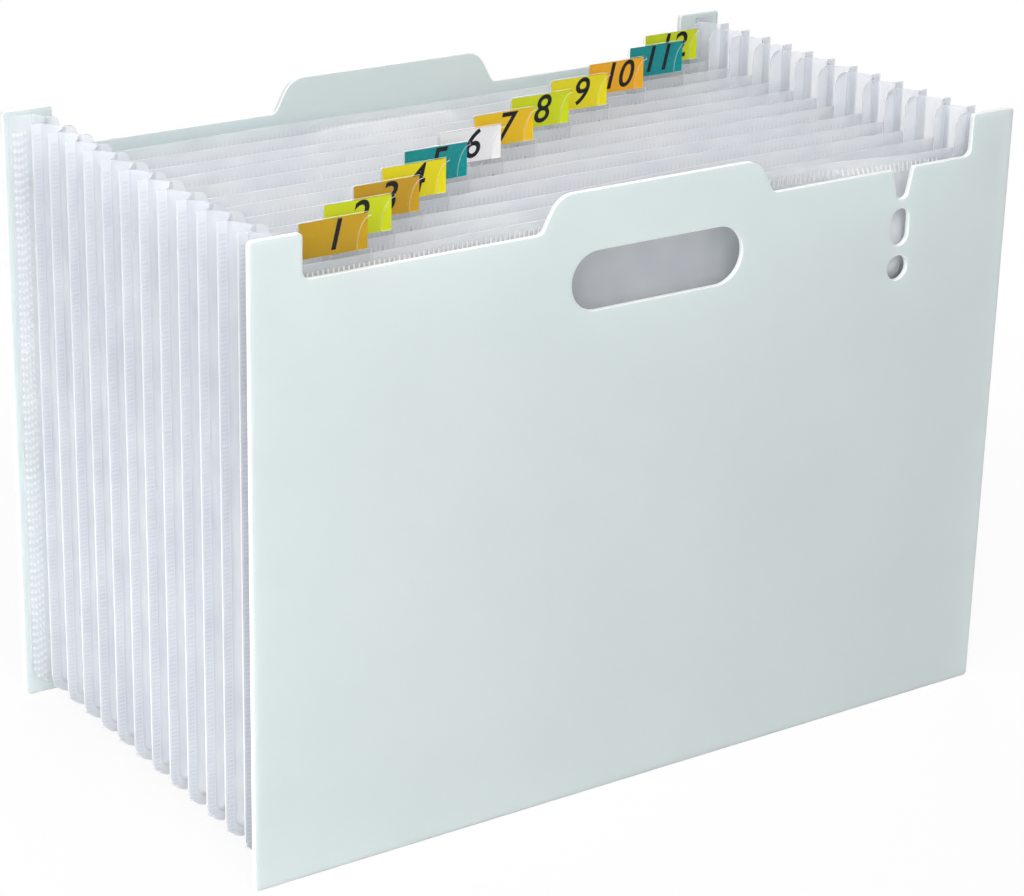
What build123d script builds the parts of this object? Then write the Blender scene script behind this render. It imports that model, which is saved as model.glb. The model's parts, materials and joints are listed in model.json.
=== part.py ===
from build123d import *
import os

# Accordion file: two stiff covers joined by a bellows of clear film that folds
# inwards on both sides and along the floor, with film dividers between the pockets.
# X is the width, -Y the front, +Z up. The covers stand on Z = 0. Millimetres.

# Covers
COVER_WIDTH = 330.0
COVER_HEIGHT = 236.0
COVER_THICKNESS = 2.0
COVER_CORNER_RADIUS = 1.5
EAR_WIDTH = 20.0
EAR_RISE = 16.0
EAR_TIP_RADIUS = 1.5
EAR_FOOT_RADIUS = 3.0
HANDLE_BASE_WIDTH = 101.0
HANDLE_TOP_WIDTH = 87.0
HANDLE_RISE = 13.0
HANDLE_SHOULDER_RADIUS = 10.0
HANDLE_FOOT_RADIUS = 3.0
GRIP_LENGTH = 75.0
GRIP_HEIGHT = 22.0
GRIP_DROP = 20.0

# Closing notch of the front cover, with the slot and the round eye below it
NOTCH_INSET = 53.0
NOTCH_MOUTH = 10.0
NOTCH_FLOOR = 5.0
NOTCH_DEPTH = 11.7
NOTCH_MOUTH_RADIUS = 1.0
NOTCH_FLOOR_RADIUS = 2.2
SLOT_WIDTH = 8.5
SLOT_LENGTH = 14.6
SLOT_GAP = 3.6
EYE_DIAMETER = 9.7
EYE_GAP = 3.7

# Pockets, fully drawn out
POCKET_COUNT = 13
POCKET_PITCH = 13.75

# Divider sheets
SHEET_THICKNESS = 0.3
SHEET_INSET = 5.0
SHEET_LIFT = 5.0
SHEET_DROP = 1.0
SHEET_CORNER_RADIUS = 8.0
SHEET_TOP_RADIUS = 1.5

# Bellows folds, each a pair of film strips welded at the inner edge
FILM_THICKNESS = 0.25
FOLD_DEPTH = 15.0
FOLD_DROP = 2.0
FOLD_TIP_RADIUS = 4.0
CREASE_SEAM_WIDTH = 5.0
SEAM_WIDTH = 3.5
COVER_SEAM_INSET = 3.0
COVER_SEAM_WIDTH = 8.5

# Slits along a divider's top edge; a tab's two feet go through two of them
SLIT_PITCH = 2.0
SLIT_WIDTH = 0.8
SLIT_HEIGHT = 2.4
SLIT_DROP = 5.0
FIRST_SLIT_INSET = 18.0

# Clear index tabs: how far along the row of slits each one sits, front to rear
TAB_PLACE_SHARES = (0.03, 0.1, 0.174, 0.25, 0.318, 0.409, 0.5, 0.598, 0.705, 0.811, 0.924, 0.992)
TAB_WIDTH = 29.0
TAB_RISE = 15.0
TAB_SKIRT = 9.0
TAB_THICKNESS = 0.5
TAB_CORNER_RADIUS = 1.5
THUMB_WIDTH = 5.5
THUMB_HEIGHT = 11.5
FOOT_SPAN_SLITS = 10
FOOT_CLEARANCE = 0.15
FOOT_HOOK_DROP = 1.5
FOOT_HOOK_THICKNESS = 0.5

# Paper labels on the backs of the tabs
LABEL_WIDTH = 26.5
LABEL_HEIGHT = 12.5
LABEL_THICKNESS = 0.15
LABEL_LIFT = 2.0

# Levels and depths that follow from the sizes above
LEDGE_HEIGHT = COVER_HEIGHT - EAR_RISE
DEPTH = 2 * COVER_THICKNESS + POCKET_COUNT * POCKET_PITCH
FRONT_INNER_Y = COVER_THICKNESS - DEPTH / 2
REAR_INNER_Y = DEPTH / 2 - COVER_THICKNESS
SHEET_HALF_WIDTH = COVER_WIDTH / 2 - SHEET_INSET
SHEET_TOP = LEDGE_HEIGHT - SHEET_DROP
SLIT_Z = SHEET_TOP - SLIT_DROP
FIRST_SLIT_X = FIRST_SLIT_INSET - SHEET_HALF_WIDTH
LAST_SLIT = int(-2 * FIRST_SLIT_X / SLIT_PITCH)
FOOT_SPAN = FOOT_SPAN_SLITS * SLIT_PITCH


def upright(outline, front_y, thickness):
    """A sheet with its outline in X and Z, from front_y back by its thickness."""
    return extrude(Plane.XZ.offset(-front_y - thickness) * outline, amount=thickness)


def cover_outline(notched):
    """A cover's outline: two ears, the handle tab and, on the front, the notch."""
    half = COVER_WIDTH / 2
    ear = half - EAR_WIDTH
    base = HANDLE_BASE_WIDTH / 2
    top = HANDLE_TOP_WIDTH / 2
    crown = LEDGE_HEIGHT + HANDLE_RISE
    notch_x = half - NOTCH_INSET
    notch_z = LEDGE_HEIGHT - NOTCH_DEPTH
    notch = [
        (notch_x + NOTCH_MOUTH / 2, LEDGE_HEIGHT, NOTCH_MOUTH_RADIUS),
        (notch_x + NOTCH_FLOOR / 2, notch_z, NOTCH_FLOOR_RADIUS),
        (notch_x - NOTCH_FLOOR / 2, notch_z, NOTCH_FLOOR_RADIUS),
        (notch_x - NOTCH_MOUTH / 2, LEDGE_HEIGHT, NOTCH_MOUTH_RADIUS),
    ]
    corners = [
        (-half, 0, COVER_CORNER_RADIUS),
        (half, 0, COVER_CORNER_RADIUS),
        (half, COVER_HEIGHT, COVER_CORNER_RADIUS),
        (ear, COVER_HEIGHT, EAR_TIP_RADIUS),
        (ear, LEDGE_HEIGHT, EAR_FOOT_RADIUS),
        *(notch if notched else []),
        (base, LEDGE_HEIGHT, HANDLE_FOOT_RADIUS),
        (top, crown, HANDLE_SHOULDER_RADIUS),
        (-top, crown, HANDLE_SHOULDER_RADIUS),
        (-base, LEDGE_HEIGHT, HANDLE_FOOT_RADIUS),
        (-ear, LEDGE_HEIGHT, EAR_FOOT_RADIUS),
        (-ear, COVER_HEIGHT, EAR_TIP_RADIUS),
        (-half, COVER_HEIGHT, COVER_CORNER_RADIUS),
    ]
    points = [(x, z) for x, z, radius in corners]
    radii = [radius for x, z, radius in corners]
    grip = Pos(0, LEDGE_HEIGHT - GRIP_DROP) * SlotOverall(GRIP_LENGTH, GRIP_HEIGHT)
    return make_face(FilletPolyline(*points, radius=radii, close=True)) - grip


def front_cover():
    """The front board, with the slot and the eye in line under its notch."""
    hole_x = COVER_WIDTH / 2 - NOTCH_INSET
    slot_top = LEDGE_HEIGHT - NOTCH_DEPTH - SLOT_GAP
    slot_z = slot_top - SLOT_LENGTH / 2
    eye_z = slot_top - SLOT_LENGTH - EYE_GAP - EYE_DIAMETER / 2
    slot = Pos(hole_x, slot_z) * SlotOverall(SLOT_LENGTH, SLOT_WIDTH, rotation=90)
    eye = Pos(hole_x, eye_z) * Circle(EYE_DIAMETER / 2)
    return upright(cover_outline(True) - slot - eye, -DEPTH / 2, COVER_THICKNESS)


def rear_cover():
    """The rear board, of the same outline without the notch."""
    return upright(cover_outline(False), REAR_INNER_Y, COVER_THICKNESS)


def sheet_y(number):
    """The middle plane of a divider, counted from the front."""
    return FRONT_INNER_Y + number * POCKET_PITCH


def tab_x(number):
    """The middle of a divider's tab, halfway between the slits that hold its feet."""
    left_slit = round(TAB_PLACE_SHARES[number - 1] * (LAST_SLIT - FOOT_SPAN_SLITS))
    return FIRST_SLIT_X + left_slit * SLIT_PITCH + FOOT_SPAN / 2


def at_feet(number, outline):
    """An outline at the two slits where a tab's feet go through its divider."""
    left = tab_x(number) - FOOT_SPAN / 2
    return [Pos(left, SLIT_Z) * outline, Pos(left + FOOT_SPAN, SLIT_Z) * outline]


def divider(number):
    """A film divider with round lower corners and the slits that its tab uses."""
    corners = [
        (-SHEET_HALF_WIDTH, SHEET_LIFT, SHEET_CORNER_RADIUS),
        (SHEET_HALF_WIDTH, SHEET_LIFT, SHEET_CORNER_RADIUS),
        (SHEET_HALF_WIDTH, SHEET_TOP, SHEET_TOP_RADIUS),
        (-SHEET_HALF_WIDTH, SHEET_TOP, SHEET_TOP_RADIUS),
    ]
    points = [(x, z) for x, z, radius in corners]
    radii = [radius for x, z, radius in corners]
    outline = make_face(FilletPolyline(*points, radius=radii, close=True))
    slits = at_feet(number, Rectangle(SLIT_WIDTH, SLIT_HEIGHT))
    return upright(outline - slits, sheet_y(number) - SHEET_THICKNESS / 2, SHEET_THICKNESS)


def index_tab(number):
    """A clear tab in front of its divider, hooked through two slits."""
    face_y = sheet_y(number) - SHEET_THICKNESS / 2
    hook_y = face_y + SHEET_THICKNESS + FOOT_CLEARANCE
    middle = tab_x(number)
    height = TAB_RISE + TAB_SKIRT
    centre_z = SHEET_TOP + (TAB_RISE - TAB_SKIRT) / 2
    blank = Pos(middle, centre_z) * RectangleRounded(TAB_WIDTH, height, TAB_CORNER_RADIUS)
    thumb_z = SHEET_TOP + LABEL_LIFT
    thumb = Pos(middle + TAB_WIDTH / 2, thumb_z) * Ellipse(THUMB_WIDTH, THUMB_HEIGHT)
    above = Pos(middle + TAB_WIDTH / 2, thumb_z + TAB_RISE / 2) * Rectangle(TAB_WIDTH, TAB_RISE)
    plate = upright(blank - (thumb & above), face_y - TAB_THICKNESS, TAB_THICKNESS)
    tongue_width = SLIT_WIDTH - 2 * FOOT_CLEARANCE
    tongue_height = SLIT_HEIGHT - 2 * FOOT_CLEARANCE
    tongue = Rectangle(tongue_width, tongue_height)
    hook = Pos(0, -FOOT_HOOK_DROP / 2) * Rectangle(tongue_width, tongue_height + FOOT_HOOK_DROP)
    tongues = [upright(t, face_y, hook_y - face_y) for t in at_feet(number, tongue)]
    hooks = [upright(h, hook_y, FOOT_HOOK_THICKNESS) for h in at_feet(number, hook)]
    return plate + tongues + hooks


def label(number):
    """A paper label stuck to the back of its tab, above the divider's edge."""
    centre_z = SHEET_TOP + LABEL_LIFT + LABEL_HEIGHT / 2
    outline = Pos(tab_x(number), centre_z) * Rectangle(LABEL_WIDTH, LABEL_HEIGHT)
    return upright(outline, sheet_y(number) - SHEET_THICKNESS / 2, LABEL_THICKNESS)


def gusset(number):
    """The fold that closes one pocket at both sides and the floor.

    Its outer seams lie flat on the sheets in front and behind. Its crease, where the two
    strips are welded flat together, points into the pocket at half depth. It goes round
    the floor with mitred corners.
    """
    first = number == 1
    last = number == POCKET_COUNT
    cover_start = COVER_SEAM_INSET - SHEET_INSET
    front_y = FRONT_INNER_Y if first else sheet_y(number - 1) + SHEET_THICKNESS / 2
    rear_y = REAR_INNER_Y if last else sheet_y(number) - SHEET_THICKNESS / 2
    front_start = cover_start if first else 0
    rear_start = cover_start if last else 0
    front_width = COVER_SEAM_WIDTH if first else SEAM_WIDTH
    rear_width = COVER_SEAM_WIDTH if last else SEAM_WIDTH
    outer = min(front_start, rear_start)
    middle_y = (front_y + rear_y) / 2
    legs_end = FOLD_DEPTH - CREASE_SEAM_WIDTH
    weld_start = legs_end - FILM_THICKNESS / 2
    top = COVER_HEIGHT - FOLD_DROP
    side = SHEET_HALF_WIDTH
    crease = side - FOLD_DEPTH
    pocket_face = Polyline(
        (front_start, front_y),
        (front_start + front_width, front_y),
        (legs_end, middle_y - FILM_THICKNESS),
        (legs_end, middle_y + FILM_THICKNESS),
        (rear_start + rear_width, rear_y),
        (rear_start, rear_y),
    )
    legs = make_face(offset(pocket_face, FILM_THICKNESS, kind=Kind.INTERSECTION, side=Side.LEFT))
    weld = Rectangle(FOLD_DEPTH - weld_start, 2 * FILM_THICKNESS)
    profile = legs + Pos((weld_start + FOLD_DEPTH) / 2, middle_y) * weld
    route = Polyline((-side, 0, top), (-side, 0, SHEET_LIFT), (side, 0, SHEET_LIFT), (side, 0, top))
    fold = sweep(Pos(-side, 0, top) * profile, path=route, transition=Transition.RIGHT)
    corners = [
        (outer - side, top, 0),
        (outer - side, SHEET_LIFT + outer, SHEET_CORNER_RADIUS - outer),
        (side - outer, SHEET_LIFT + outer, SHEET_CORNER_RADIUS - outer),
        (side - outer, top, 0),
        (crease, top, FOLD_TIP_RADIUS),
        (crease, SHEET_LIFT + FOLD_DEPTH, 0),
        (-crease, SHEET_LIFT + FOLD_DEPTH, 0),
        (-crease, top, FOLD_TIP_RADIUS),
    ]
    points = [(x, z) for x, z, radius in corners]
    radii = [radius for x, z, radius in corners]
    trim = make_face(FilletPolyline(*points, radius=radii, close=True))
    return fold & upright(trim, front_y, rear_y - front_y)


def write(name, solid):
    export_step(solid, f"parts/{name}.step")


os.makedirs("parts", exist_ok=True)
write("front_cover", front_cover())
write("rear_cover", rear_cover())
for divider_number in range(1, POCKET_COUNT):
    write(f"divider_{divider_number:02d}", divider(divider_number))
    write(f"index_tab_{divider_number:02d}", index_tab(divider_number))
    write(f"label_{divider_number:02d}", label(divider_number))
for pocket_number in range(1, POCKET_COUNT + 1):
    write(f"gusset_{pocket_number:02d}", gusset(pocket_number))
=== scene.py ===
import json
import math

import bmesh
import bpy
from mathutils import Matrix, Vector


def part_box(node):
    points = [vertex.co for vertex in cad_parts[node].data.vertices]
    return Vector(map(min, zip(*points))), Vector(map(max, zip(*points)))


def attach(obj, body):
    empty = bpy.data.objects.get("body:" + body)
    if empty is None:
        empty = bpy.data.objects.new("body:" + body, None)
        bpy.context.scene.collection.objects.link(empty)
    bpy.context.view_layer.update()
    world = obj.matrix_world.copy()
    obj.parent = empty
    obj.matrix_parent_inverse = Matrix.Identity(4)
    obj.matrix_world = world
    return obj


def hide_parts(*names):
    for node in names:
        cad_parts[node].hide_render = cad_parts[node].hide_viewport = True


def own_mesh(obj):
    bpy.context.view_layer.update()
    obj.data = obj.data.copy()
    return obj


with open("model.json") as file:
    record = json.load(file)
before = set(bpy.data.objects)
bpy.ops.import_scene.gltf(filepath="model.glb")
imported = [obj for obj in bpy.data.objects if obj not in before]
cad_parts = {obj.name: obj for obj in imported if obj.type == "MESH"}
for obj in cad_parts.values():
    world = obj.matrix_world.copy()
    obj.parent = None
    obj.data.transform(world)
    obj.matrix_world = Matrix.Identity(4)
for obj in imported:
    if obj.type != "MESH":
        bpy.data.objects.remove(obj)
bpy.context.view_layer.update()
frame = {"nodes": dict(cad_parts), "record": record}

# Covers
# Two stiff boards of extruded polypropylene with a fine matt grain, die-cut to one outline.
# The blade leaves their edges paler than the faces, and the corners a little rounded over. The edges and
# the rounded corners are also painted whiter, as a painted highlight.

MM = 0.001
MERGE_GAP = 0.001 * MM
FLAT_TURN = math.radians(1)
SHARP_TURN = math.radians(50)
FLAT_SHARE = 0.99
RIM_FINISH = 1
BOARD_EDGE_RADIUS = 0.3 * MM
BOARD_COLOURS = ((0.600, 0.665, 0.665, 1), (0.625, 0.690, 0.690, 1))
BOARD_ROUGHNESS = (0.42, 0.54)
BOARD_CLOUD_SIZE = 60.0 * MM
BOARD_GRAIN_SIZE = 0.5 * MM
BOARD_GRAIN_DEPTH = 0.03 * MM
BOARD_GLOW = 4.0 * MM
# Cut-edge colours: the blade's real paleness, with a painted highlight on top of it.
EDGE_AND_HIGHLIGHT_COLOURS = ((0.86, 0.89, 0.89, 1), (0.94, 0.96, 0.96, 1))
CUT_EDGE_ROUGHNESS = (0.35, 0.55)
CUT_STREAK_SIZE = 1.5 * MM
CUT_STREAK_DEPTH = 0.05 * MM
PLASTIC_IOR = 1.49
EVEN_GLOW = (1, 1, 1)
TINT_STOPS = (0.3, 0.7)


class Wire:
    """A socket of a material's nodes, on which shader maths is written as on a number."""

    def __init__(self, tree, socket=None):
        self.tree = tree
        self.socket = socket

    def node(self, kind, settings=None, inputs=None, output=0):
        """Adds any node: its settings first, then the values or links of its sockets."""
        made = self.tree.nodes.new("ShaderNode" + kind)
        for name, value in (settings or {}).items():
            if name == "stops":
                for stop, (place, colour) in zip(made.color_ramp.elements, value):
                    stop.position = place
                    stop.color = colour
            else:
                setattr(made, name, value)
        for name, value in (inputs or {}).items():
            if isinstance(value, Wire):
                self.tree.links.new(value.socket, made.inputs[name])
            else:
                made.inputs[name].default_value = value
        return Wire(self.tree, made.outputs[output] if made.outputs else None)

    def maths(self, operation, first, second):
        return self.node("Math", {"operation": operation}, {0: first, 1: second})

    def __add__(self, other):
        return self.maths("ADD", self, other)

    def __radd__(self, other):
        return self.maths("ADD", other, self)

    def __sub__(self, other):
        return self.maths("SUBTRACT", self, other)

    def __rsub__(self, other):
        return self.maths("SUBTRACT", other, self)

    def __mul__(self, other):
        return self.maths("MULTIPLY", self, other)

    def __rmul__(self, other):
        return self.maths("MULTIPLY", other, self)


def new_finish(name):
    """An empty material, and the wire that its nodes are added from."""
    material = bpy.data.materials.new(name)
    material.use_nodes = True
    material.node_tree.nodes.clear()
    return material, Wire(material.node_tree)


def noise(wire, size, detail=3.0):
    """Noise whose patches are about the given size across, in metres."""
    place = wire.node("TexCoord", output="Object")
    return wire.node("TexNoise", None, {"Vector": place, "Scale": 1 / size, "Detail": detail})


def tinted(wire, amount, colours):
    """A colour between two, by an amount from 0 to 1."""
    return wire.node("ValToRGB", {"stops": zip(TINT_STOPS, colours)}, {"Fac": amount})


def between(limits, amount):
    """A value that goes from one limit to the other as an amount goes from 0 to 1."""
    low, high = limits
    return low + (high - low) * amount


def bumped(wire, height, depth, strength):
    """The normal of a surface whose relief is this deep, in metres."""
    return wire.node("Bump", None, {"Height": height, "Distance": depth, "Strength": strength})


def surfaced(material, wire, **sockets):
    """Ends a material in one shader with these sockets."""
    named = {name.replace("_", " "): value for name, value in sockets.items()}
    shader = wire.node("BsdfPrincipled", None, named)
    wire.node("OutputMaterial", None, {"Surface": shader})
    return material


def board_finish():
    """Matt board with a fine grain, through which a little light wanders."""
    material, wire = new_finish("cover_board")
    cloud = noise(wire, BOARD_CLOUD_SIZE)
    grain = noise(wire, BOARD_GRAIN_SIZE, detail=2.0)
    return surfaced(
        material, wire,
        Base_Color=tinted(wire, cloud, BOARD_COLOURS),
        Roughness=between(BOARD_ROUGHNESS, grain),
        Normal=bumped(wire, grain, BOARD_GRAIN_DEPTH, strength=0.5),
        IOR=PLASTIC_IOR,
        Subsurface_Weight=1.0,
        Subsurface_Radius=EVEN_GLOW,
        Subsurface_Scale=BOARD_GLOW,
    )


def cut_edge_finish():
    """The pale, faintly streaked edge that the blade leaves, painted whiter still as a highlight, also
    on the rounded corners.
    """
    material, wire = new_finish("cover_cut_edge_and_highlight")
    streak = noise(wire, CUT_STREAK_SIZE)
    return surfaced(
        material, wire,
        Base_Color=tinted(wire, streak, EDGE_AND_HIGHLIGHT_COLOURS),
        Roughness=between(CUT_EDGE_ROUGHNESS, streak),
        Normal=bumped(wire, streak, CUT_STREAK_DEPTH, strength=0.3),
        IOR=PLASTIC_IOR,
    )


def merged_copy(node):
    """A CAD node's mesh as one closed skin of large flat faces, to work on."""
    mesh = frame["nodes"][node].data.copy()
    mesh.attributes.remove(mesh.attributes["custom_normal"])
    bm = bmesh.new()
    bm.from_mesh(mesh)
    bpy.data.meshes.remove(mesh)
    bmesh.ops.remove_doubles(bm, verts=bm.verts, dist=MERGE_GAP)
    bmesh.ops.dissolve_limit(bm, angle_limit=FLAT_TURN, verts=bm.verts, edges=bm.edges)
    return bm


def round_over(bm, radius):
    """Rounds every sharp edge of a cut sheet."""
    sharp = [edge for edge in bm.edges if edge.calc_face_angle(0) > SHARP_TURN]
    bmesh.ops.bevel(bm, geom=sharp, offset=radius, offset_type="OFFSET", affect="EDGES",
                    segments=2, profile=0.5, material=-1, clamp_overlap=True)


def piece_from(bm, name, body, slot, *finishes):
    """Makes a piece of a finished bmesh, riding on a body, with its finishes."""
    for edge in bm.edges:
        edge.smooth = edge.calc_face_angle(0) < SHARP_TURN
    mesh = bpy.data.meshes.new(name)
    bm.to_mesh(mesh)
    bm.free()
    piece = bpy.data.objects.new(name, mesh)
    bpy.context.scene.collection.objects.link(piece)
    for finish in finishes:
        mesh.materials.append(finish)
    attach(piece, body)
    return piece


def mark_rim(bm):
    """Gives the faces that don't lie in the sheet's own plane the rim's finish, and smooths them."""
    for face in bm.faces:
        face.smooth = abs(face.normal.y) < FLAT_SHARE
        face.material_index = RIM_FINISH if face.smooth else 0


BOARD = board_finish()
EDGE_AND_HIGHLIGHT = cut_edge_finish()
for cover in ("front_cover", "rear_cover"):
    board = merged_copy(cover)
    round_over(board, BOARD_EDGE_RADIUS)
    mark_rim(board)
    piece = piece_from(board, cover + "_board", cover, "cover_board", BOARD, EDGE_AND_HIGHLIGHT)
    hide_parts(cover)

# Divider sheets
# Frosted film, cut with round lower corners and punched with a row of short slits under the top.
# Each sheet is welded to the bellows and a little wavy.

SHEET_COUNT = 12
SHEET_CUTS = 14
FRONT_SHEET_CUTS = 56
SHEET_WAVE = 1.4 * MM
WAVE_ACROSS = 5.1
WAVE_UP = 1.3
WAVE_STEP = 1.7
WAVE_START = 3.0
RIPPLE_SHARE = 0.5
RIPPLE_ACROSS = 12.0
RIPPLE_STEP = 2.3
TAB_HOLD = 40.0 * MM
# Behind the cover's slot and eye the front sheet bulges forwards and carries a painted patch of light.
SLOT_AND_EYE_PLACE = Vector((112.0, 189.0)) * MM
PAINTED_LIGHT_REACH = (12.0 * MM, 30.0 * MM)
FRONT_BULGES = (
    (27.0 * MM, 22.0 * MM, SLOT_AND_EYE_PLACE),
    (-11.0 * MM, 45.0 * MM, Vector((82.0, 225.0)) * MM),
)
SLIT_FINISH = 2
SLIT_PITCH = 2.0 * MM
SLIT_LIP = (0.7 * MM, 0.05 * MM, 3.4 * MM)
SLIT_LIP_LIFT = 0.03 * MM
SLIT_DROP = 4.4 * MM
SLIT_INSET = 18.0 * MM
FILM_COLOURS = ((0.84, 0.86, 0.91, 1), (0.88, 0.90, 0.94, 1))
FILM_EDGE_COLOURS = ((0.95, 0.95, 0.97, 1), (0.97, 0.97, 0.98, 1))
FILM_CLOUD_SIZE = 25.0 * MM
FILM_EVENNESS = (0.8, 1.2)
FILM_ROUGHNESS_SPREAD = 0.2
FILM_GLOW = 0.5 * MM


def strained(wire, amount):
    """Painted light: how much more opaque, and so whiter, the film is made around the place behind the
    cover's slot and eye.
    """
    place = wire.node("TexCoord", output="Object")
    middle = (-SLOT_AND_EYE_PLACE.x, 0, -SLOT_AND_EYE_PLACE.y)
    centred = wire.node("Mapping", None, {"Vector": place, "Location": middle, "Scale": (1, 0, 1)})
    far = wire.node("VectorMath", {"operation": "LENGTH"}, {0: centred}, output="Value")
    near, end = PAINTED_LIGHT_REACH
    outside_patch = wire.node("MapRange", {"interpolation_type": "SMOOTHSTEP"},
                      {"Value": far, "From Min": near, "From Max": end})
    return amount * (1 - outside_patch)


def film_finish(name, colours, alpha, roughness, milkiness=0.0, light_patch_share=0.0):
    """Cloudy film, unevenly clear. Milky film glows with the light from behind it."""
    material, wire = new_finish(name)
    cloud = noise(wire, FILM_CLOUD_SIZE, detail=1.0)
    opacity = alpha * between(FILM_EVENNESS, cloud)
    # A painted patch of light: the film is made more opaque, and so whiter, around one place.
    if light_patch_share:
        opacity = opacity + strained(wire, light_patch_share)
    return surfaced(
        material, wire,
        Base_Color=tinted(wire, cloud, colours),
        Roughness=roughness + FILM_ROUGHNESS_SPREAD * cloud,
        Alpha=opacity,
        IOR=PLASTIC_IOR,
        Subsurface_Weight=milkiness,
        Subsurface_Radius=EVEN_GLOW,
        Subsurface_Scale=FILM_GLOW,
    )


def in_slices(bm, axis, low, high, count):
    """Cuts a mesh across at even steps, so that it can bend."""
    step = (high - low) / count
    for number in range(1, count):
        place = Vector((0, 0, 0))
        place[axis] = low + number * step
        normal = Vector((0, 0, 0))
        normal[axis] = 1
        geom = bm.verts[:] + bm.edges[:] + bm.faces[:]
        bmesh.ops.bisect_plane(bm, geom=geom, plane_co=place, plane_no=normal)


def add_row(bm, row, finish_index, step, count):
    """Repeats the small solid of a second mesh in a row, in one finish, and adds it to the first."""
    for face in row.faces:
        face.material_index = finish_index
    bmesh.ops.spin(row, geom=row.verts[:] + row.edges[:] + row.faces[:], axis=(0, 0, 1), dvec=step,
                   angle=0, steps=count - 1, use_duplicate=True)
    mesh = bpy.data.meshes.new("row")
    row.to_mesh(mesh)
    row.free()
    bm.from_mesh(mesh)
    bpy.data.meshes.remove(mesh)


def add_bars(bm, middle, size, finish_index, step, count):
    """Adds a row of small blocks to a mesh."""
    row = bmesh.new()
    place = Matrix.Translation(middle) @ Matrix.Diagonal((*size, 1))
    bmesh.ops.create_cube(row, size=1, matrix=place)
    add_row(bm, row, finish_index, step, count)


def front_bulge(place):
    """How far the front sheet swells to the front, in flat-topped bulges."""
    bulge = 0.0
    for height, reach, middle in FRONT_BULGES:
        away = (Vector((place.x, place.z)) - middle).length / reach
        bulge += height * math.exp(-away ** 4)
    return bulge


def sheet_sway(number, place, low, high, tab_x):
    """How far a sheet stands off its plane: nothing at its welds, and no wave at its tab."""
    across = (place.x - low.x) / (high.x - low.x)
    up = (place.z - low.z) / (high.z - low.z)
    free = math.sin(math.pi * across) * up * (2 - up)
    hooked = math.exp(-((place.x - tab_x) / TAB_HOLD) ** 2)
    wave = math.sin(WAVE_ACROSS * across + WAVE_STEP * number + WAVE_UP * up + WAVE_START)
    wave += RIPPLE_SHARE * math.sin(RIPPLE_ACROSS * across - RIPPLE_STEP * number)
    bulge = front_bulge(place) if number == 1 else 0.0
    return free * (SHEET_WAVE * (1 - hooked) * wave - bulge)


SHEET_FILM = film_finish("divider_film", FILM_COLOURS, alpha=0.38, roughness=0.30, milkiness=1.0)
# The front sheet gets the painted patch of light behind the cover's slot and eye.
FRONT_SHEET_FILM = film_finish("front_divider_film_lit", FILM_COLOURS, alpha=0.38, roughness=0.30,
                               milkiness=1.0, light_patch_share=0.55)
SHEET_EDGE = film_finish("divider_cut_edge", FILM_EDGE_COLOURS, alpha=0.55, roughness=0.25)
FILM_EDGE = film_finish("film_cut_edge", FILM_EDGE_COLOURS, alpha=0.5, roughness=0.25)
# The slit lips come in two copies: near-opaque white on the front sheet as painted glints, and almost
# clear on the other sheets.
SLIT_EDGE = film_finish("slit_edge", FILM_EDGE_COLOURS, alpha=0.025, roughness=0.25)
FRONT_SLIT_GLINT = film_finish("front_slit_painted_glint", FILM_EDGE_COLOURS, alpha=0.85, roughness=0.25)
for number in range(1, SHEET_COUNT + 1):
    at_front = number == 1
    node = f"divider_{number:02d}"
    low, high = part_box(node)
    film = merged_copy(node)
    mark_rim(film)
    cuts = FRONT_SHEET_CUTS if at_front else SHEET_CUTS
    in_slices(film, 0, low.x, high.x, 2 * cuts)
    in_slices(film, 2, low.z, high.z, cuts)
    slit_count = 1 + round((high.x - low.x - 2 * SLIT_INSET) / SLIT_PITCH)
    off = SLIT_LIP_LIFT + SLIT_LIP[1] / 2
    for lip_y in (low.y - off, high.y + off):
        first_slit = (low.x + SLIT_INSET, lip_y, high.z - SLIT_DROP)
        add_bars(film, first_slit, SLIT_LIP, SLIT_FINISH, (SLIT_PITCH, 0, 0), slit_count)
    tab_low, tab_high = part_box(f"index_tab_{number:02d}")
    for vert in film.verts:
        vert.co.y += sheet_sway(number, vert.co, low, high, (tab_low.x + tab_high.x) / 2)
    for face in film.faces:
        face.smooth = True
    sheet_film = FRONT_SHEET_FILM if at_front else SHEET_FILM
    # Only the front sheet's slit lips carry the painted glints.
    slit_edge = FRONT_SLIT_GLINT if at_front else SLIT_EDGE
    piece = piece_from(film, f"divider_sheet_{number:02d}", node, "divider_film",
                       sheet_film, SHEET_EDGE, slit_edge)
    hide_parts(node)
    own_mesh(piece)

# Bellows
# For each pocket two strips of softer film, welded together along a crease inside the pocket.
# Their outer edges are welded to the sheets in front and behind, at the sides and round the floor.

POCKET_COUNT = 13
SEAM_FINISH = 1
EDGE_FINISH = 2
RIB_FINISH = 3
FILM_THICKNESS = 0.25 * MM
FILM_MERGE_GAP = 0.02 * MM
FOLD_DEPTH = 15.0 * MM
CREASE_SEAM_WIDTH = 5.0 * MM
LEGS_END = FOLD_DEPTH - CREASE_SEAM_WIDTH
FOLD_DROP = 2.0 * MM
FOLD_TIP_RADIUS = 4.0 * MM
FOLD_CORNER_RADIUS = 8.0 * MM
FOLD_SWAY = 0.9 * MM
SWAY_ALONG = 0.31
SWAY_STEP = 2.1
CREASE_LEAN = 1.0 * MM
LEAN_STEP = 2.4
SHEET_INSET = 5.0 * MM
FOLD_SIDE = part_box("front_cover")[1].x - SHEET_INSET
FOLD_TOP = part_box("front_cover")[1].z - FOLD_DROP
SEAM = (0.0, 3.5 * MM)
COVER_SEAM = (-2.0 * MM, 6.5 * MM)
LEG_STEPS = 8
CREASE_STEPS = 5
SIDE_STEPS = 22
CORNER_STEPS = 6
FLOOR_STEPS = 30
LAST_STATION = 2 * (SIDE_STEPS + CORNER_STEPS) + FLOOR_STEPS
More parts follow.
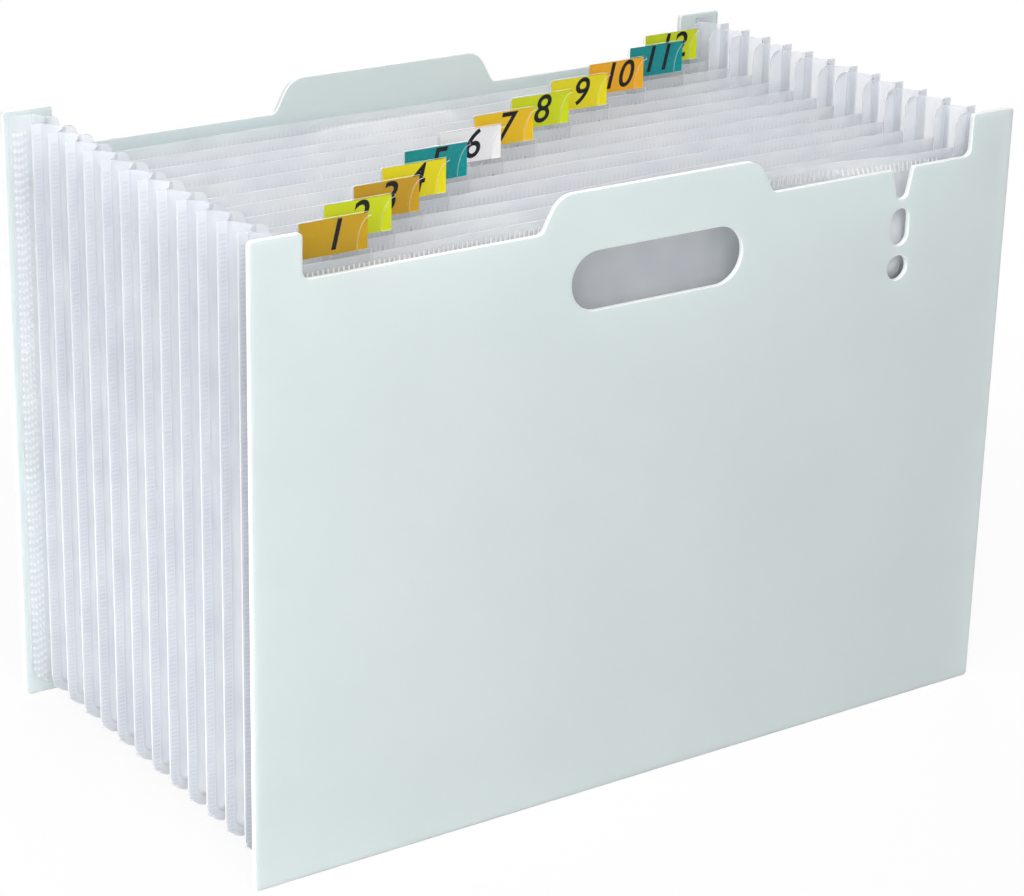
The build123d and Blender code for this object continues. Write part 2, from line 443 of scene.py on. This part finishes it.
WELD_PITCH = 1.6 * MM
WELD_RIB = (2.4 * MM, 0.8 * MM)
WELD_HEIGHT = 0.12 * MM
KNURL_PITCH = 3.0 * MM
KNURL_RADIUS = 1.1 * MM
KNURL_HEIGHT = 0.25 * MM
GUSSET_COLOURS = ((0.76, 0.79, 0.86, 1), (0.83, 0.86, 0.91, 1))
WELD_COLOURS = ((0.82, 0.84, 0.89, 1), (0.87, 0.89, 0.93, 1))
# The ribs are painted darker than the weld around them, as painted shade.
RIB_SHADE_COLOURS = ((0.74, 0.77, 0.83, 1), (0.80, 0.83, 0.88, 1))


def strip(seam, seam_y, crease_y):
    """One strip's middle line, from its outer edge to the crease, as pairs of depth and Y."""
    points = [(seam[0], seam_y)]
    for step in range(LEG_STEPS + 1):
        share = step / LEG_STEPS
        bend = share * share * (3 - 2 * share)
        depth = seam[1] + (LEGS_END - seam[1]) * share
        points.append((depth, seam_y + (crease_y - seam_y) * bend))
    return points


def beside(line, distance):
    """A strip's middle line moved sideways, to the rear where the distance is above 0."""
    moved = []
    for number, (depth, y) in enumerate(line):
        along = Vector((1, 0))
        if 0 < number < len(line) - 1:
            along = (Vector(line[number + 1]) - Vector(line[number - 1])).normalized()
        moved.append((depth - along.y * distance, y + along.x * distance))
    return moved


def fold_outline(number, front_y, rear_y, front_seam, rear_seam):
    """The closed outline of a fold's film: the side to the air, then the side to the pocket."""
    middle = (front_y + rear_y) / 2 + CREASE_LEAN * math.sin(LEAN_STEP * number)
    half = FILM_THICKNESS / 2
    front = strip(front_seam, front_y + half, middle - half)
    rear = strip(rear_seam, rear_y - half, middle + half)
    steps = range(1, CREASE_STEPS + 1)
    weld = [LEGS_END + CREASE_SEAM_WIDTH * step / CREASE_STEPS for step in steps]
    air_side = beside(front, half) + beside(rear, -half)[-2::-1]
    weld_side = [(depth, middle + FILM_THICKNESS) for depth in weld]
    weld_side += [(depth, middle - FILM_THICKNESS) for depth in weld[::-1]]
    return air_side + beside(rear, half) + weld_side + beside(front, -half)[::-1]


def fold_place(depth, station):
    """The X and Z of a fold's point at a depth, at a station of its way down, along and up."""
    if station > LAST_STATION / 2:
        x, z = fold_place(depth, LAST_STATION - station)
        return -x, z
    centre = max(depth, FOLD_CORNER_RADIUS)
    if station <= SIDE_STEPS:
        beyond = max(0.0, depth - FOLD_DEPTH + FOLD_TIP_RADIUS)
        drop = FOLD_TIP_RADIUS - math.sqrt(max(0.0, FOLD_TIP_RADIUS ** 2 - beyond ** 2))
        head = FOLD_TOP - drop
        return depth - FOLD_SIDE, head + (SHEET_INSET + centre - head) * station / SIDE_STEPS
    if station <= SIDE_STEPS + CORNER_STEPS:
        turn = math.pi / 2 * (station - SIDE_STEPS) / CORNER_STEPS
        radius = max(0.0, FOLD_CORNER_RADIUS - depth)
        x = centre - FOLD_SIDE - radius * math.cos(turn)
        return x, SHEET_INSET + centre - radius * math.sin(turn)
    share = (station - SIDE_STEPS - CORNER_STEPS) / (FLOOR_STEPS / 2)
    return (centre - FOLD_SIDE) * (1 - share), SHEET_INSET + depth


def fold_skin(outline, number):
    """The film of one fold, with its seams flat and its crease a little wavy."""
    last_column = len(outline)
    bm = bmesh.new()
    made = bmesh.ops.create_grid(bm, x_segments=last_column, y_segments=LAST_STATION, size=0.5)
    for vert in made["verts"]:
        column = round((vert.co.x + 0.5) * last_column) % last_column
        station = round((vert.co.y + 0.5) * LAST_STATION)
        depth, y = outline[column]
        free = max(0.0, depth - COVER_SEAM[1]) / (FOLD_DEPTH - COVER_SEAM[1])
        sway = FOLD_SWAY * free * math.sin(SWAY_ALONG * station + SWAY_STEP * number)
        x, z = fold_place(depth, station)
        vert.co = (x, y + sway, z)
    bmesh.ops.remove_doubles(bm, verts=bm.verts, dist=FILM_MERGE_GAP)
    bmesh.ops.holes_fill(bm, edges=[edge for edge in bm.edges if edge.is_boundary], sides=0)
    bmesh.ops.recalc_face_normals(bm, faces=bm.faces)
    for face in bm.faces:
        face.smooth = True
        if abs(face.normal.y) > FLAT_SHARE:
            face.material_index = SEAM_FINISH
        if face.calc_center_median().x ** 2 > (FOLD_SIDE - FILM_THICKNESS / 2) ** 2:
            face.material_index = EDGE_FINISH
    return bm


def seam_runs(depth, pitch, shift, edge):
    """A seam's straight runs at a depth: the place of the first mark, the step and the count."""
    corner = FOLD_CORNER_RADIUS
    sag = math.sqrt((corner - edge) ** 2 - (corner - depth) ** 2) - pitch / 2
    foot = SHEET_INSET + corner - sag + shift
    rise = int((FOLD_TOP - pitch - foot) / pitch)
    for side in (-1, 1):
        yield Vector((side * (FOLD_SIDE - depth), 0, foot)), Vector((0, 0, pitch)), rise
    reach = FOLD_SIDE - corner
    along = int(2 * reach / pitch) - 1
    yield Vector((shift + pitch - reach, 0, SHEET_INSET + depth)), Vector((pitch, 0, 0)), along


def add_ribs(bm, seam, face_y, towards):
    """The row of short ribs that the welding bar presses into a seam, in a finish painted darker than
    the weld as shade.
    """
    length, width = WELD_RIB
    lift = Vector((0, face_y + towards * WELD_HEIGHT / 2, 0))
    for place, step, count in seam_runs((seam[0] + seam[1]) / 2, WELD_PITCH, 0, seam[0]):
        size = (length, WELD_HEIGHT, width) if step.z else (width, WELD_HEIGHT, length)
        add_bars(bm, place + lift, size, RIB_FINISH, step, count)


def add_knurl(bm, seam, face_y, towards):
    """The lattice of small pyramids that the welding bar presses into a cover's seam."""
    half_pitch = KNURL_PITCH / 2
    columns = int((seam[1] - seam[0]) / half_pitch) - 1
    lift = Vector((0, face_y + towards * KNURL_HEIGHT / 2, 0))
    turn = Matrix.Rotation(-towards * math.pi / 2, 4, "X")
    for column in range(1, columns + 1):
        depth = seam[0] + column * half_pitch
        shift = half_pitch * (column % 2)
        for place, step, count in seam_runs(depth, KNURL_PITCH, shift, seam[0]):
            row = bmesh.new()
            bmesh.ops.create_cone(row, segments=4, radius1=KNURL_RADIUS, radius2=0,
                                  depth=KNURL_HEIGHT, matrix=Matrix.Translation(place + lift) @ turn)
            add_row(bm, row, EDGE_FINISH, step, count)


BELLOWS_FILM = film_finish("gusset_film", GUSSET_COLOURS, alpha=0.36, roughness=0.28, milkiness=1.0)
WELD = film_finish("weld_seam", WELD_COLOURS, alpha=0.45, roughness=0.22)
# Painted shade: the ribs' film is darker than the weld's.
SHADED_WELD_RIBS = film_finish("weld_ribs_painted_shade", RIB_SHADE_COLOURS, alpha=0.45, roughness=0.22)
for number in range(1, POCKET_COUNT + 1):
    node = f"gusset_{number:02d}"
    low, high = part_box(node)
    at_front = number == 1
    at_rear = number == POCKET_COUNT
    front_seam = COVER_SEAM if at_front else SEAM
    rear_seam = COVER_SEAM if at_rear else SEAM
    fold = fold_skin(fold_outline(number, low.y, high.y, front_seam, rear_seam), number)
    press_front = add_knurl if at_front else add_ribs
    press_front(fold, front_seam, low.y + FILM_THICKNESS, 1)
    press_rear = add_knurl if at_rear else add_ribs
    press_rear(fold, rear_seam, high.y - FILM_THICKNESS, -1)
    body = "rear_cover" if at_rear else f"divider_{number:02d}"
    piece = piece_from(fold, f"bellows_fold_{number:02d}", body, "gusset_film",
                       BELLOWS_FILM, WELD, FILM_EDGE, SHADED_WELD_RIBS)
    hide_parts(node)
    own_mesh(piece)

# Index tabs
# Clear moulded plastic, with a thumb cut at the right and rims painted white and half opaque, a painted
# highlight where they catch the light.
# Each tab's two feet hook through slits of its divider, a hair in front of the label that it holds.

TAB_GAP = 0.05 * MM
TAB_COLOURS = ((0.10, 0.11, 0.13, 1), (0.13, 0.14, 0.16, 1))
TAB_CLEAR = film_finish("clear_tab", TAB_COLOURS, alpha=0.04, roughness=0.06)
# The tab rims are painted white and half opaque: a painted highlight.
TAB_EDGE_HIGHLIGHT = film_finish("clear_tab_painted_highlight", FILM_EDGE_COLOURS, alpha=0.45, roughness=0.1)
for number in range(1, SHEET_COUNT + 1):
    node = f"index_tab_{number:02d}"
    tab = merged_copy(node)
    mark_rim(tab)
    bmesh.ops.translate(tab, vec=(0, -TAB_GAP, 0), verts=tab.verts)
    piece = piece_from(tab, f"clear_tab_{number:02d}", f"divider_{number:02d}", "clear_tab",
                       TAB_CLEAR, TAB_EDGE_HIGHLIGHT)
    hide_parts(node)

# Labels
# Slips of coloured paper that sit behind the tabs, in eight colours.
# Each is marked with its pocket's number in thin black ink that lies on the paper.

LABEL_COLOURS = {
    "amber": (0.56, 0.33, 0.008, 1), "lime": (0.66, 0.74, 0.008, 1),
    "ochre": (0.60, 0.34, 0.012, 1), "yellow": (0.86, 0.74, 0.008, 1),
    "teal": (0.004, 0.29, 0.30, 1), "white": (0.94, 0.92, 0.92, 1),
    "gold": (0.88, 0.55, 0.010, 1), "orange": (0.94, 0.44, 0.012, 1),
}
FIBRE_PALENESS = 0.02
PAPER_ROUGHNESS = (0.7, 0.9)
PAPER_FIBRE_SIZE = 1.2 * MM
PAPER_FIBRE_DEPTH = 0.02 * MM
PAPER_SHEEN = 0.1
INK_COLOUR = (0.012, 0.012, 0.014, 1)
INK_ROUGHNESS = (0.4, 0.7)
INK_PATCH_SIZE = 2.0 * MM
FIGURE_HEIGHT = 10.5 * MM
FIGURE_SLANT = 0.25
FONT_FIGURE_HEIGHT = 0.7
FONT_SPREAD = 0.01
FONT_THICKNESS = 0.002


def paper_finish(name, colour):
    """Dull paper whose fibres are a little paler than its dye."""
    material, wire = new_finish(name)
    fibre = noise(wire, PAPER_FIBRE_SIZE, detail=5.0)
    pale = tuple(between((value, 1), FIBRE_PALENESS) for value in colour)
    return surfaced(
        material, wire,
        Base_Color=tinted(wire, fibre, (colour, pale)),
        Roughness=between(PAPER_ROUGHNESS, fibre),
        Normal=bumped(wire, fibre, PAPER_FIBRE_DEPTH, strength=0.4),
        Specular_IOR_Level=PAPER_SHEEN,
    )


def ink_finish():
    """Black ink that has sunk unevenly into the paper."""
    material, wire = new_finish("marker_ink")
    wet = noise(wire, INK_PATCH_SIZE)
    return surfaced(
        material, wire,
        Base_Color=INK_COLOUR,
        Roughness=between(INK_ROUGHNESS, wet),
        Specular_IOR_Level=PAPER_SHEEN,
    )


def figure_mesh(words):
    """Numerals as a thin flat mesh in their own plane, X across and Y up."""
    curve = bpy.data.curves.new("figure", "FONT")
    curve.body = words
    curve.align_x = "CENTER"
    curve.align_y = "CENTER"
    curve.shear = FIGURE_SLANT
    curve.offset = FONT_SPREAD
    curve.extrude = FONT_THICKNESS
    writing = bpy.data.objects.new("figure", curve)
    bpy.context.scene.collection.objects.link(writing)
    bpy.context.view_layer.update()
    bm = bmesh.new()
    bm.from_mesh(writing.to_mesh())
    bpy.data.objects.remove(writing)
    return bm


PAPERS = {name: paper_finish("label_" + name, colour) for name, colour in LABEL_COLOURS.items()}
INK = ink_finish()
slots = {part["node"]: part["material_slot"] for part in frame["record"]["subparts"]}
upright = Matrix.Rotation(math.pi / 2, 4, "X") @ Matrix.Scale(FIGURE_HEIGHT / FONT_FIGURE_HEIGHT, 4)
for number in range(1, SHEET_COUNT + 1):
    node = f"label_{number:02d}"
    slot = slots[node]
    label = frame["nodes"][node]
    label.data.materials.clear()
    label.data.materials.append(PAPERS[slot.removeprefix("label_")])
    low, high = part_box(node)
    place = Matrix.Translation(((low.x + high.x) / 2, low.y, (low.z + high.z) / 2))
    figure = figure_mesh(str(number))
    bmesh.ops.transform(figure, matrix=place @ upright, verts=figure.verts)
    piece_from(figure, f"figure_{number:02d}", f"divider_{number:02d}", slot, INK)

# Studio
# A white floor that keeps the file's shadow, before a white background.
# Soft lamps light it from the front left, from above, low at the bellows and from behind.

WHITE = (1, 1, 1, 1)
FLOOR_SIZE = 12.0
FLOOR_COLOUR = (0.9, 0.9, 0.9, 1)
SHADOW_REACH = (0.2, 0.6)
FLOOR_WHITENESS = (0.92, 1.0)
ROOM_COLOUR = (0.96, 0.98, 1.0, 1)
ROOM_LIGHT = 0.04
LAMPS = {
    "key": ((-0.75, -1.0, 0.85), (1.2, 1.2), 19),
    "top": ((-0.1, -0.5, 1.0), (1.0, 1.0), 3.6),
    "low": ((-0.38, -0.02, 0.02), (0.4, 0.06), 0.62),
    "back": ((0.5, 1.2, 1.0), (1.0, 1.0), 12),
}
LAMP_TARGET = Vector((0, 0, 0.11))
CAMERA_PLACE = Vector((-617.08, -893.12, 528.91)) * MM
CAMERA_AZIMUTH = math.radians(-34.742)
CAMERA_ELEVATION = math.radians(21.504)
CAMERA_ROLL = math.radians(1.324)
CAMERA_LENS = 106.07
CAMERA_SENSOR = 36.0
MOST_FILM_FACES = 128


def seen_directly(wire):
    """1 for rays that the eye, a mirror or glass sends out, and 0 for those of light."""
    camera = wire.node("LightPath", output="Is Camera Ray")
    glossy = wire.node("LightPath", output="Is Glossy Ray")
    through = wire.node("LightPath", output="Is Transmission Ray")
    return wire.node("Math", {"operation": "ADD", "use_clamp": True}, {0: camera + glossy, 1: through})


def floor_finish():
    """White to the eye, with the shadow showing through only near the object."""
    material, wire = new_finish("studio_floor")
    matt = wire.node("BsdfDiffuse", None, {"Color": FLOOR_COLOUR})
    white = wire.node("Emission", None, {"Color": WHITE, "Strength": 1.0})
    place = wire.node("TexCoord", output="Object")
    far = wire.node("VectorMath", {"operation": "LENGTH"}, {0: place}, output="Value")
    near, end = SHADOW_REACH
    least, most = FLOOR_WHITENESS
    clear = wire.node("MapRange", {"interpolation_type": "SMOOTHSTEP"},
                      {"Value": far, "From Min": near, "From Max": end, "To Min": least, "To Max": most})
    mixed = wire.node("MixShader", None, {0: clear * seen_directly(wire), 1: matt, 2: white})
    wire.node("OutputMaterial", None, {"Surface": mixed})
    return material


ground = bmesh.new()
bmesh.ops.create_grid(ground, x_segments=1, y_segments=1, size=FLOOR_SIZE / 2)
ground_mesh = bpy.data.meshes.new("studio_floor")
ground.to_mesh(ground_mesh)
ground.free()
ground_mesh.materials.append(floor_finish())
floor = bpy.data.objects.new("studio_floor", ground_mesh)
bpy.context.scene.collection.objects.link(floor)

world = bpy.data.worlds.new("studio")
bpy.context.scene.world = world
world.use_nodes = True
world.node_tree.nodes.clear()
room = Wire(world.node_tree)
soft = room.node("Background", None, {"Color": ROOM_COLOUR, "Strength": ROOM_LIGHT})
blank = room.node("Background", None, {"Color": WHITE, "Strength": 1.0})
shown = room.node("MixShader", None, {0: seen_directly(room), 1: soft, 2: blank})
room.node("OutputWorld", None, {"Surface": shown})

for name, (place, size, power) in LAMPS.items():
    lamp = bpy.data.lights.new(name, "AREA")
    lamp.shape = "RECTANGLE"
    lamp.size, lamp.size_y = size
    lamp.energy = power
    holder = bpy.data.objects.new(name, lamp)
    holder.visible_camera = False
    holder.location = place
    holder.rotation_euler = (LAMP_TARGET - Vector(place)).to_track_quat("-Z", "Y").to_euler()
    bpy.context.scene.collection.objects.link(holder)

lens = bpy.data.cameras.new("camera")
lens.lens = CAMERA_LENS
lens.sensor_width = CAMERA_SENSOR
lens.sensor_fit = "HORIZONTAL"
camera = bpy.data.objects.new("camera", lens)
turned = Matrix.Rotation(CAMERA_AZIMUTH, 4, "Z")
tilted = Matrix.Rotation(math.pi / 2 - CAMERA_ELEVATION, 4, "X")
rolled = Matrix.Rotation(CAMERA_ROLL, 4, "Z")
camera.matrix_world = Matrix.Translation(CAMERA_PLACE) @ turned @ tilted @ rolled
bpy.context.scene.collection.objects.link(camera)
bpy.context.scene.camera = camera
bpy.context.scene.cycles.transparent_max_bounces = MOST_FILM_FACES
bpy.context.scene.view_settings.view_transform = "Standard"
